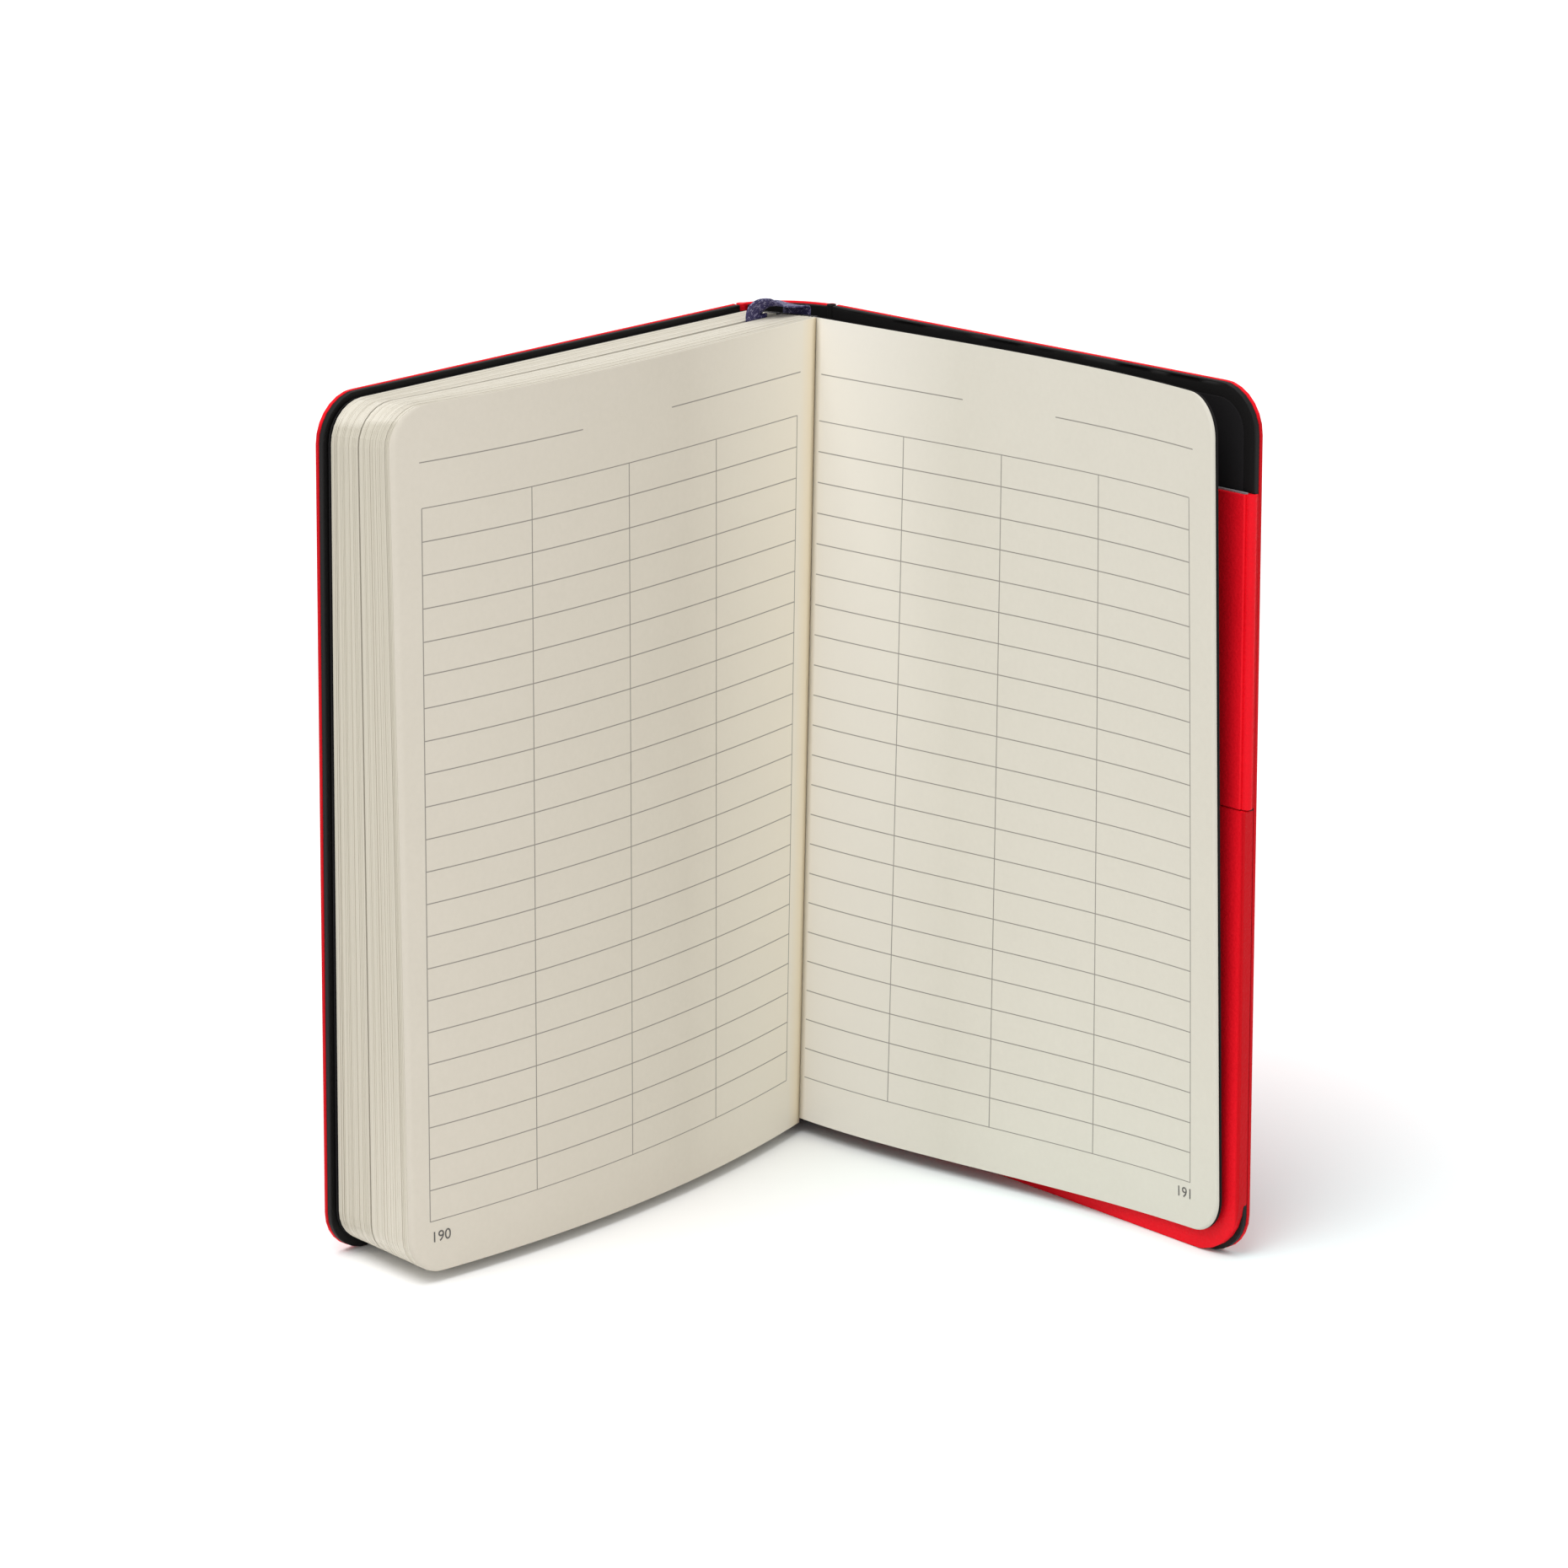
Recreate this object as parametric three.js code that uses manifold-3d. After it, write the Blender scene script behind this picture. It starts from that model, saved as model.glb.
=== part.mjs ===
// Soft-covered notebook, standing open on its tail with the covers about a quarter turn apart.
// Millimetres, +Z up. The origin is the middle of the spine's tail edge, where the notebook stands.
// The spine lies along X at the back, the book opens towards -Y, and the text block lies on the front cover.
import * as THREE from 'three';
import { mergeVertices } from 'three/addons/utils/BufferGeometryUtils.js';
import Module from 'manifold-3d';

// Driving dimensions of the case.
const coverWidth = 120;
const coverHeight = 180;
const coverCorner = 9.5;
const spineWidth = 19;
const spineSkew = 2.5;
const spineBulge = 3;
const frontAngleTail = 43.8;
const frontAngleHead = 47.7;
const backLegAngle = 47.5;
const skinThick = 0.7;
const boardThick = 0.8;
const liningThick = 0.4;
const glueGap = 0.1;
const rimWidth = 0.7;
const hingeRoll = 0.8;
const hingeClear = 0.4;
const spineTurnIn = 14;
const pastedownThick = 0.25;
const pastedownInset = 3;
const platePitch = 14;

// Driving dimensions of the text block.
const pageHeight = 176.4;
const tailLift = 2.4;
const pageCorner = 8;
const foldInset = 0.8;
const foldBackTail = -3.2;
const foldBackHead = 3.9;
const foreEdgeFirst = 118.8;
const foreEdgeTail = 119.8;
const foreEdgeHead = 115.5;
const blockLift = 0.5;
const flyleafThick = 0.3;
const blockAtFold = 15.2;
const blockAtForeTail = 22.4;
const blockAtForeHead = 11.3;
const archTail = 6.5;
const archHead = 4.3;
const swayTail = 0.1;
const swayHead = -1.1;
const leavesInSection = 8;
const wholeSections = 11;
const leavesInLast = 7;
const leavesBeforeRibbon = 44;
const sectionGap = 0.1;
const foldNose = 0.7;

// The ribbon, the bands and the gauze at the block's back.
const ribbonWidth = 6.5;
const ribbonThick = 0.3;
const ribbonSlot = 1.25;
const ribbonTail = 12;
const ribbonGlued = 28;
const ribbonArch = 4;
const ribbonRise = 1.4;
const ribbonTurned = 0.7;
const ribbonInset = 7;
const ribbonBack = 0.62;
const gauzeThick = 0.35;
const gauzeMargin = 14;
const bandRadius = 0.9;
const backClear = 0.4;
const backStart = 0.16;
const backEnd = 0.97;

// The last leaf and the rear flyleaf, which come out of the gutter and rest over the back cover.
const leafThick = 0.25;
const leafGap = 0.3;
const rootClear = 0.5;
const looseForeEdge = 116.6;
const leafRestTail = 4.2;
const leafRestHead = 9.1;
const leafDipTail = 2;
const leafDipHead = 3.9;
const leafSwayTail = 2.3;
const leafSwayHead = 1.1;

// The closure flap, folded in along the back cover's fore-edge, and the pocket below it.
const flapTop = 159.1;
const flapBottom = 95.8;
const flapGusset = 19.5;
const flapTongue = 22.5;
const flapSkin = 0.6;
const flapLining = 0.4;
const flapCard = 0.7;
const flapCorner = 5;
const flapLift = 0.3;
const foldRoll = 0.9;
const foldClear = 0.3;
const magnetDiameter = 12;
const magnetInset = 16;
const magnetClear = 0.1;
const pocketTop = 94.6;
const pocketSkin = 0.6;
const pocketDepth = 1.1;
const pocketWall = 0.7;
const pocketInset = 1.1;
const pocketStart = 5;
const pocketCorner = 9;

// Surfaces.
const skinRed = new THREE.MeshStandardMaterial({ color: 0xc4101f, roughness: 0.55, metalness: 0 });
const liningBlack = new THREE.MeshStandardMaterial({ color: 0x1c1b1c, roughness: 0.8, metalness: 0 });
const paperBlack = new THREE.MeshStandardMaterial({ color: 0x232223, roughness: 0.9, metalness: 0 });
const paperCream = new THREE.MeshStandardMaterial({ color: 0xe2dccb, roughness: 0.9, metalness: 0 });
const greyBoard = new THREE.MeshStandardMaterial({ color: 0x8d8778, roughness: 0.95, metalness: 0 });
const ribbonNavy = new THREE.MeshStandardMaterial({ color: 0x2c2850, roughness: 0.6, metalness: 0 });
const gauzeWhite = new THREE.MeshStandardMaterial({ color: 0xd9d6cc, roughness: 0.95, metalness: 0 });
const magnetSteel = new THREE.MeshStandardMaterial({ color: 0x9a9b9e, roughness: 0.35, metalness: 0.9 });

const wasm = await Module();
wasm.setup();

// Values that follow from the driving dimensions.
const coverHalf = (skinThick + boardThick + liningThick + 2 * glueGap) / 2;
const hingeEnd = hingeRoll + hingeClear;
const leafCount = wholeSections * leavesInSection + leavesInLast;
const blockFront = coverHalf + pastedownThick + glueGap + flyleafThick + blockLift;
const pageTop = tailLift + pageHeight;
const frontLegAngle = (frontAngleTail + frontAngleHead) / 2;
const frontHingeY = spineSkew / 2 - spineBulge;
const backHingeY = frontHingeY - spineSkew;

function mixed(tail, head, up) {
  return tail + (head - tail) * up;
}

function toSolid(geometry) {
  const bare = geometry.clone();
  bare.deleteAttribute('normal');
  bare.deleteAttribute('uv');
  const merged = mergeVertices(bare, 1e-5);
  return new wasm.Manifold(new wasm.Mesh({
    numProp: 3,
    vertProperties: new Float32Array(merged.attributes.position.array),
    triVerts: new Uint32Array(merged.index.array),
  }));
}

function toGeometry(solid) {
  const mesh = solid.getMesh();
  const geometry = new THREE.BufferGeometry();
  geometry.setAttribute('position', new THREE.BufferAttribute(new Float32Array(mesh.vertProperties), 3));
  geometry.setIndex(new THREE.BufferAttribute(new Uint32Array(mesh.triVerts), 1));
  return geometry;
}

function piece(name, geometry, material) {
  const mesh = new THREE.Mesh(geometry, material);
  mesh.name = name;
  return mesh;
}

// The front leg opens a little wider at the head than at the tail, so what lies on it is turned by height.
function frontTurn(z) {
  return THREE.MathUtils.degToRad(mixed(frontAngleTail, frontAngleHead, z / coverHeight) - frontLegAngle);
}

function turned(geometry) {
  const place = geometry.attributes.position;
  for (let k = 0; k < place.count; k += 1) {
    const turn = frontTurn(place.getZ(k));
    const x = place.getX(k);
    const y = place.getY(k);
    place.setX(k, x * Math.cos(turn) - y * Math.sin(turn));
    place.setY(k, x * Math.sin(turn) + y * Math.cos(turn));
  }
  return geometry;
}

// A closed outline in X and Z. Each corner has its own radius, given from low X low Z round by high X.
function outline(x0, x1, z0, z1, radii) {
  const [lowLow, highLow, highHigh, lowHigh] = radii;
  const shape = new THREE.Shape();
  shape.moveTo(x0 + lowLow, z0);
  shape.lineTo(x1 - highLow, z0);
  if (highLow > 0) shape.absarc(x1 - highLow, z0 + highLow, highLow, -Math.PI / 2, 0, false);
  shape.lineTo(x1, z1 - highHigh);
  if (highHigh > 0) shape.absarc(x1 - highHigh, z1 - highHigh, highHigh, 0, Math.PI / 2, false);
  shape.lineTo(x0 + lowHigh, z1);
  if (lowHigh > 0) shape.absarc(x0 + lowHigh, z1 - lowHigh, lowHigh, Math.PI / 2, Math.PI, false);
  shape.lineTo(x0, z0 + lowLow);
  if (lowLow > 0) shape.absarc(x0 + lowLow, z0 + lowLow, lowLow, Math.PI, Math.PI * 1.5, false);
  return shape;
}

// An outline in X and Z made into a plate from yLow to yHigh.
function plate(shape, yLow, yHigh) {
  const geometry = new THREE.ExtrudeGeometry(shape, { depth: yHigh - yLow, bevelEnabled: false, curveSegments: 7 });
  geometry.rotateX(Math.PI / 2);
  geometry.translate(0, yHigh, 0);
  return geometry;
}

// A row of z values: a quarter turn at each rounded corner, a few even steps between them.
function rowsWithCorners(zLow, zHigh, radius, cornerSteps, middleSteps) {
  const rows = [];
  for (let k = 0; k <= cornerSteps; k += 1) {
    const turn = (Math.PI / 2) * (k / cornerSteps);
    rows.push({ z: zLow + radius * (1 - Math.cos(turn)), back: radius * (1 - Math.sin(turn)) });
  }
  for (let k = 1; k < middleSteps; k += 1) {
    rows.push({ z: zLow + radius + (zHigh - zLow - 2 * radius) * (k / middleSteps), back: 0 });
  }
  for (let k = 0; k <= cornerSteps; k += 1) {
    const turn = (Math.PI / 2) * (1 - k / cornerSteps);
    rows.push({ z: zHigh - radius * (1 - Math.cos(turn)), back: radius * (1 - Math.sin(turn)) });
  }
  return rows;
}

// A closed slab between two grids of points, each with the same rows and columns.
function gridSlab(low, high) {
  const rows = low.length;
  const columns = low[0].length;
  const points = [low, high].flat(3);
  const at = (side, i, j) => (side * rows + j) * columns + i;
  const faces = [];
  const quad = (a, b, c, d) => faces.push(a, b, c, a, c, d);
  for (let j = 0; j + 1 < rows; j += 1) {
    for (let i = 0; i + 1 < columns; i += 1) {
      quad(at(0, i, j), at(0, i + 1, j), at(0, i + 1, j + 1), at(0, i, j + 1));
      quad(at(1, i, j), at(1, i, j + 1), at(1, i + 1, j + 1), at(1, i + 1, j));
    }
    quad(at(0, 0, j), at(0, 0, j + 1), at(1, 0, j + 1), at(1, 0, j));
    quad(at(0, columns - 1, j), at(1, columns - 1, j), at(1, columns - 1, j + 1), at(0, columns - 1, j + 1));
  }
  for (let i = 0; i + 1 < columns; i += 1) {
    quad(at(0, i, 0), at(1, i, 0), at(1, i + 1, 0), at(0, i + 1, 0));
    quad(at(0, i, rows - 1), at(0, i + 1, rows - 1), at(1, i + 1, rows - 1), at(1, i, rows - 1));
  }
  const geometry = new THREE.BufferGeometry();
  geometry.setAttribute('position', new THREE.BufferAttribute(new Float32Array(points), 3));
  geometry.setIndex(faces);
  return geometry;
}

// A stack of leaves between two sheets. A sheet gives a point for a share of the way from fold to fore-edge,
// and a height. The free corners are rounded, and the fold narrows over the nose.
function leafSlab(low, high, zLow, zHigh, radius, width, nose) {
  const steps = 8;
  const shares = nose > 0 ? [0] : [];
  for (let i = 0; i <= steps; i += 1) shares.push(nose / width + (1 - nose / width) * (i / steps));
  const grids = [[], []];
  for (const row of rowsWithCorners(zLow, zHigh, radius, 4, 4)) {
    const reach = 1 - row.back / width;
    const lines = [low, high].map((sheet) => shares.map((share) => sheet(share * reach, row.z)));
    if (nose > 0) {
      const [a, b] = [lines[0][0], lines[1][0]];
      const middle = [0, 1, 2].map((k) => (a[k] + b[k]) / 2);
      lines[0][0] = middle.map((m, k) => m + (a[k] - m) * 0.45);
      lines[1][0] = middle.map((m, k) => m + (b[k] - m) * 0.45);
    }
    grids[0].push(lines[0]);
    grids[1].push(lines[1]);
  }
  return gridSlab(grids[0], grids[1]);
}

// A leg's frame: X runs from the spine's hinge to the fore-edge, Z is up.
// On the front leg the reader's side is +Y, and on the back leg it is -Y.
function legFrame(x, y, degrees) {
  const frame = new THREE.Group();
  frame.position.set(x, y, 0);
  frame.rotation.z = THREE.MathUtils.degToRad(degrees);
  frame.updateMatrixWorld(true);
  return frame;
}

const notebook = new THREE.Group();
const frontLeg = legFrame(-spineWidth / 2, frontHingeY, 180 + frontLegAngle);
const backLeg = legFrame(spineWidth / 2, backHingeY, -backLegAngle);
notebook.add(frontLeg, backLeg);

// Part of the spine: a strip that bulges outwards between the two hinges, cut from x0 to x1.
function spineStrip(x0, x1, z0, z1, low, high) {
  const steps = 10;
  const across = [];
  for (let k = 0; k <= steps; k += 1) across.push(x0 + (x1 - x0) * (k / steps));
  const middle = (x) => {
    const share = x / spineWidth + 0.5;
    return frontHingeY - spineSkew * share + spineBulge * 4 * share * (1 - share);
  };
  const side = (offset) => [z0, z1].map((z) => across.map((x) => [x, middle(x) + offset, z]));
  return gridSlab(side(low), side(high));
}

// Spine: the skin turns in over the head and tail of the stiffener, and rolls into a hinge at each side.
function addSpine() {
  const half = spineWidth / 2;
  const low = -coverHalf;
  const inside = coverHalf - skinThick;
  const top = coverHeight - skinThick;
  const bar = toSolid(spineStrip(-half, half, 0, coverHeight, low, coverHalf));
  const cavity = toSolid(spineStrip(-half - 2, half + 2, skinThick, top, low + liningThick, inside));
  const mouth = toSolid(spineStrip(-half - 2, half + 2, spineTurnIn, coverHeight - spineTurnIn, low - 2, inside));
  let skin = bar.subtract(cavity).subtract(mouth);
  for (const [x, y] of [[-half, frontHingeY], [half, backHingeY]]) {
    const roll = new THREE.CylinderGeometry(hingeRoll, hingeRoll, coverHeight, 16);
    roll.rotateX(Math.PI / 2);
    roll.translate(x, y, coverHeight / 2);
    skin = skin.add(toSolid(roll));
  }
  notebook.add(piece('spine_skin', toGeometry(skin), skinRed));
  const clear = half - hingeRoll - glueGap;
  const stiffTop = inside - glueGap;
  notebook.add(piece('spine_stiffener', spineStrip(-clear, clear, skinThick + glueGap, top - glueGap,
    stiffTop - boardThick, stiffTop), greyBoard));
  notebook.add(piece('spine_lining', spineStrip(-clear, clear, spineTurnIn + glueGap,
    coverHeight - spineTurnIn - glueGap, low, stiffTop - boardThick - glueGap), liningBlack));
}

// A cover: a red skin with a raised rim, a board inside it, a black lining flush with the rim and a pastedown.
// "inner" is the side that the reader sees, +1 or -1 along Y. The recess makes room for the flap's fold.
function addCover(leg, name, inner, recess) {
  const r = coverCorner;
  const between = (a, b) => [Math.min(inner * a, inner * b), Math.max(inner * a, inner * b)];
  const whole = (inset) => outline(hingeEnd + inset, coverWidth - inset, inset, coverHeight - inset,
    [0, r - inset, r - inset, 0]);
  const cut = (solid, inset) => {
    if (!recess) return solid;
    const shape = outline(coverWidth - recess.depth - inset, coverWidth + 1, recess.low - inset,
      recess.high + inset, [0, 0, 0, 0]);
    return solid.subtract(toSolid(plate(shape, -coverHalf - 1, coverHalf + 1)));
  };
  const shaped = (solid) => {
    const geometry = toGeometry(inner > 0 ? solid.refineToLength(platePitch) : solid);
    return inner > 0 ? turned(geometry) : geometry;
  };
  const outer = toSolid(plate(whole(0), ...between(-coverHalf, coverHalf)));
  const tray = cut(outer, 0).subtract(cut(toSolid(plate(whole(rimWidth), ...between(-coverHalf + skinThick,
    coverHalf + 1))), rimWidth));
  leg.add(piece(`${name}_skin`, shaped(tray), skinRed));
  const boardLow = -coverHalf + skinThick + glueGap;
  const board = cut(toSolid(plate(whole(rimWidth + glueGap), ...between(boardLow, boardLow + boardThick))),
    rimWidth + glueGap);
  leg.add(piece(`${name}_board`, shaped(board), greyBoard));
  const lining = cut(toSolid(plate(whole(rimWidth + glueGap), ...between(coverHalf - liningThick, coverHalf))),
    rimWidth + glueGap);
  leg.add(piece(`${name}_lining`, shaped(lining), liningBlack));
  const edge = coverWidth - pastedownInset;
  const sheet = outline(hingeEnd + 1, edge, pastedownInset, coverHeight - pastedownInset,
    [0, r - pastedownInset, r - pastedownInset, 0]);
  const pasted = toSolid(plate(sheet, ...between(coverHalf + glueGap, coverHalf + glueGap + pastedownThick)));
  leg.add(piece(`${name}_pastedown`, shaped(pasted), paperBlack));
}

// Where a leaf leaves the block's back, in the front leg's frame. The back slants: the fold of the first leaf
// lies at the cover, and the folds of later leaves lie deeper towards the spine, most at the head.
function foldPoint(share, z) {
  const up = z / coverHeight;
  const deep = mixed(foldBackTail, foldBackHead, up);
  return [foldInset - deep * share, blockFront + (blockAtFold + ribbonSlot) * share];
}

// The sheet that lies after a given number of leaves, counted from the front flyleaf.
function leafSheet(leaves, offset) {
  const share = leaves / leafCount;
  const slot = leaves > leavesBeforeRibbon ? ribbonSlot : 0;
  return (along, z) => {
    const up = z / coverHeight;
    const atFold = blockAtFold * share;
    const [foldX] = foldPoint((atFold + slot) / (blockAtFold + ribbonSlot), z);
    const atFore = mixed(blockAtForeTail, blockAtForeHead, up) * share;
    const arch = mixed(archTail, archHead, up) * share * 4 * along * (1 - along);
    const sway = mixed(swayTail, swayHead, up) * share * 8 * along * (1 - along) * (1 - 2 * along);
    const foreX = mixed(foreEdgeFirst, mixed(foreEdgeTail, foreEdgeHead, up), share);
    return [mixed(foldX, foreX, along), blockFront + slot + mixed(atFold, atFore, along) + arch + sway + offset, z];
  };
}

function addTextBlock() {
  const flyLow = coverHalf + glueGap + pastedownThick + blockLift / 2;
  const flat = (y) => (along, z) => [mixed(foldInset, foreEdgeFirst, along), y, z];
  const width = foreEdgeFirst - foldInset;
  const addSlab = (name, low, high, nose, material) => {
    const geometry = leafSlab(low, high, tailLift, pageTop, pageCorner, width, nose);
    frontLeg.add(piece(name, turned(geometry), material));
  };
  addSlab('front_flyleaf', flat(flyLow), flat(flyLow + flyleafThick), 0, paperBlack);
  const section = (name, from, to) => {
    addSlab(name, leafSheet(from + 1e-6, sectionGap / 2), leafSheet(to, -sectionGap / 2), foldNose, paperCream);
  };
  for (let k = 0; k < wholeSections; k += 1) {
    const from = k * leavesInSection;
    const to = from + leavesInSection;
    const label = String(k + 1).padStart(2, '0');
    if (from < leavesBeforeRibbon && to > leavesBeforeRibbon) {
      section(`section_${label}_front_half`, from, leavesBeforeRibbon);
      section(`section_${label}_rear_half`, leavesBeforeRibbon, to);
    } else {
      section(`section_${label}`, from, to);
    }
  }
  section('last_section_leaves', wholeSections * leavesInSection, leafCount);
}

// A point behind the block's back: a share of the way across it, a height, and a distance from the folds.
function behindBack(share, z, away) {
  const [x, y] = foldPoint(share, z);
  const [nextX, nextY] = foldPoint(share + 0.01, z);
  const length = Math.hypot(nextX - x, nextY - y);
  return [x - away * (nextY - y) / length, y + away * (nextX - x) / length, z];
}

// Gauze glued over the sections' folds, and a band rolled over it at the head and at the tail.
function addBlockBack() {
  const grid = (away) => {
    const rows = [];
    for (const z of [tailLift + gauzeMargin, pageTop / 2, pageTop - gauzeMargin]) {
      rows.push([backEnd, (backStart + backEnd) / 2, backStart].map((share) => behindBack(share, z, away)));
    }
    return rows;
  };
  frontLeg.add(piece('spine_gauze', turned(gridSlab(grid(backClear + gauzeThick), grid(backClear))), gauzeWhite));
  for (const [name, z] of [['head_band', pageTop - bandRadius], ['tail_band', tailLift + bandRadius]]) {
    const from = new THREE.Vector3(...behindBack(backStart, z, backClear + bandRadius));
    const to = new THREE.Vector3(...behindBack(backEnd, z, backClear + bandRadius));
    const way = to.clone().sub(from);
    const roll = new THREE.CylinderGeometry(bandRadius, bandRadius, way.length(), 12);
    roll.applyQuaternion(new THREE.Quaternion().setFromUnitVectors(new THREE.Vector3(0, 1, 0),
      way.clone().normalize()));
    roll.translate(...from.add(to).multiplyScalar(0.5).toArray());
    frontLeg.add(piece(name, turned(roll), paperBlack));
  }
}

// The ribbon is glued to the block's back, arches over the head and lies down between two leaves.
// Its section is a flat strip that turns a quarter turn on the way over.
function addRibbon() {
  const away = backClear + gauzeThick + backClear + ribbonThick / 2 + 2 * bandRadius;
  const slotMiddle = leafSheet(leavesBeforeRibbon, ribbonSlot / 2);
  const width = foreEdgeFirst - foldInset;
  const inside = (z) => slotMiddle(ribbonInset / width, z);
  const stations = [];
  for (const z of [pageTop - ribbonGlued, pageTop - 2]) {
    const [x, y] = behindBack(ribbonBack, z, away);
    stations.push({ x, y, z, turn: 0 });
  }
  const [backX, backY] = behindBack(ribbonBack, pageTop, away);
  const [inX, inY] = inside(pageTop);
  const steps = 8;
  for (let k = 0; k <= steps; k += 1) {
    const part = k / steps;
    const sweep = Math.PI * part;
    stations.push({
      x: mixed(backX, inX, (1 - Math.cos(sweep)) / 2),
      y: mixed(backY, inY, (1 - Math.cos(sweep)) / 2),
      z: pageTop + ribbonRise + (ribbonArch - ribbonRise) * Math.sin(sweep),
      turn: Math.min(1, part / ribbonTurned),
    });
  }
  for (const z of [pageTop + ribbonRise / 4, pageTop - 6, pageTop / 2, ribbonTail]) {
    const [x, y] = inside(z);
    stations.push({ x, y, z, turn: 1 });
  }
  const grids = [[], []];
  const along = new THREE.Vector3();
  for (let k = 0; k < stations.length; k += 1) {
    const s = stations[k];
    const before = stations[Math.max(k - 1, 0)];
    const after = stations[Math.min(k + 1, stations.length - 1)];
    along.set(after.x - before.x, after.y - before.y, after.z - before.z).normalize();
    const [foldX, foldY] = foldPoint(ribbonBack, s.z);
    const [nextX, nextY] = foldPoint(ribbonBack + 0.1, s.z);
    const [nearX, nearY] = slotMiddle((ribbonInset - 1) / width, s.z);
    const [farX, farY] = slotMiddle((ribbonInset + 1) / width, s.z);
    const fromTurn = Math.atan2(nextY - foldY, nextX - foldX);
    const toTurn = Math.atan2(farY - nearY, farX - nearX);
    const spin = mixed(fromTurn, toTurn, s.turn * s.turn * (3 - 2 * s.turn));
    const across = new THREE.Vector3(Math.cos(spin), Math.sin(spin), 0);
    across.addScaledVector(along, -across.dot(along)).normalize();
    const through = new THREE.Vector3().crossVectors(along, across);
    const corner = (a, b) => [
      s.x + across.x * a * ribbonWidth / 2 + through.x * b * ribbonThick / 2,
      s.y + across.y * a * ribbonWidth / 2 + through.y * b * ribbonThick / 2,
      s.z + across.z * a * ribbonWidth / 2 + through.z * b * ribbonThick / 2,
    ];
    grids[0].push([corner(-1, -1), corner(1, -1)]);
    grids[1].push([corner(-1, 1), corner(1, 1)]);
  }
  frontLeg.add(piece('ribbon', turned(gridSlab(grids[0], grids[1])), ribbonNavy));
}

// The gutter: where the last leaf leaves the block, in the back leg's frame.
function gutterPoint(z) {
  const [x, y] = foldPoint(1, z);
  const turn = frontTurn(z);
  const above = y + rootClear;
  const corner = new THREE.Vector3(x * Math.cos(turn) - above * Math.sin(turn),
    x * Math.sin(turn) + above * Math.cos(turn), z);
  return backLeg.worldToLocal(frontLeg.localToWorld(corner));
}

// The loose leaves on the back leg: from the gutter they come down to rest over the back cover.
function addLooseLeaves() {
  const sheet = (offset) => (along, z) => {
    const root = gutterPoint(z);
    const up = z / coverHeight;
    const rest = mixed(-root.y, mixed(leafRestTail, leafRestHead, up), along);
    const dip = mixed(leafDipTail, leafDipHead, up) * 4 * along * (1 - along);
    const sway = mixed(leafSwayTail, leafSwayHead, up) * 8 * along * (1 - along) * (1 - 2 * along);
    return [mixed(root.x, looseForeEdge, along), -(rest - dip + sway) + offset, z];
  };
  const width = looseForeEdge - gutterPoint(0).x;
  const leaf = (from, to) => leafSlab(sheet(from), sheet(to), tailLift, pageTop, pageCorner, width, 0);
  backLeg.add(piece('leaf_191', leaf(-leafThick, 0), paperCream));
  backLeg.add(piece('rear_flyleaf', leaf(leafGap, leafGap + flyleafThick), paperBlack));
}

// The flap's two panels, lying on the inside of the back cover: a gusset as wide as the closed book is thick,
// which swings on a roll at the cover's fore-edge, and a tongue with two magnets, which swings on the gusset.
function addFlap() {
  const back = -(coverHalf + glueGap + pastedownThick + flapLift);
  const seam = back - flapLining - glueGap;
  const front = seam - flapSkin;
  const middle = (back + front) / 2;
  const swingX = coverWidth - foldRoll;
  const swingY = middle / 2;
  const creaseX = swingX - flapGusset;
  const creaseRoll = (back - front) / 2;
  const gussetEnd = creaseX + creaseRoll + foldClear;
  const height = flapTop - flapBottom;
  const roll = (x, y, radius) => {
    const geometry = new THREE.CylinderGeometry(radius, radius, height, 16);
    geometry.rotateX(Math.PI / 2);
    geometry.translate(x, y, flapBottom + height / 2);
    return toSolid(geometry);
  };
  const panel = (x0, x1, radii, y0, y1) => plate(outline(x0, x1, flapBottom, flapTop, radii), y0, y1);
  const square = [0, 0, 0, 0];
  const web = toSolid(panel(swingX - foldRoll / 2, swingX + foldRoll, square, front, swingY));
  const gussetSkin = toSolid(panel(gussetEnd, swingX + foldRoll, square, front, seam)).add(web)
    .add(roll(swingX, swingY, foldRoll));
  backLeg.add(piece('flap_gusset_skin', toGeometry(gussetSkin), skinRed));
  backLeg.add(piece('flap_gusset_lining', panel(gussetEnd, swingX - foldRoll - glueGap, square,
    back - flapLining, back), liningBlack));

  const cardFront = back - flapLining - glueGap - flapCard;
  const tongueFront = cardFront - glueGap - flapSkin;
  const start = creaseX - flapTongue;
  const rounded = [flapCorner, 0, 0, flapCorner];
  const step = toSolid(panel(creaseX - foldRoll, creaseX, square, tongueFront, back));
  const tongueSkin = toSolid(panel(start, creaseX, rounded, tongueFront, cardFront - glueGap)).add(step)
    .add(roll(creaseX, middle, creaseRoll));
  backLeg.add(piece('flap_tongue_skin', toGeometry(tongueSkin), skinRed));
  const cardEnd = creaseX - foldRoll - glueGap;
  let card = toSolid(panel(start, cardEnd, rounded, cardFront, cardFront + flapCard));
  for (const [name, z] of [['upper', flapTop - magnetInset], ['lower', flapBottom + magnetInset]]) {
    const disc = (radius) => {
      const geometry = new THREE.CylinderGeometry(radius, radius, flapCard, 32);
      geometry.translate((start + cardEnd) / 2, cardFront + flapCard / 2, z);
      return geometry;
    };
    card = card.subtract(toSolid(disc(magnetDiameter / 2 + magnetClear)));
    backLeg.add(piece(`flap_magnet_${name}`, disc(magnetDiameter / 2), magnetSteel));
  }
  backLeg.add(piece('flap_tongue_card', toGeometry(card), greyBoard));
  backLeg.add(piece('flap_tongue_lining', panel(start, cardEnd, rounded, back - flapLining, back),
    liningBlack));
}

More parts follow.
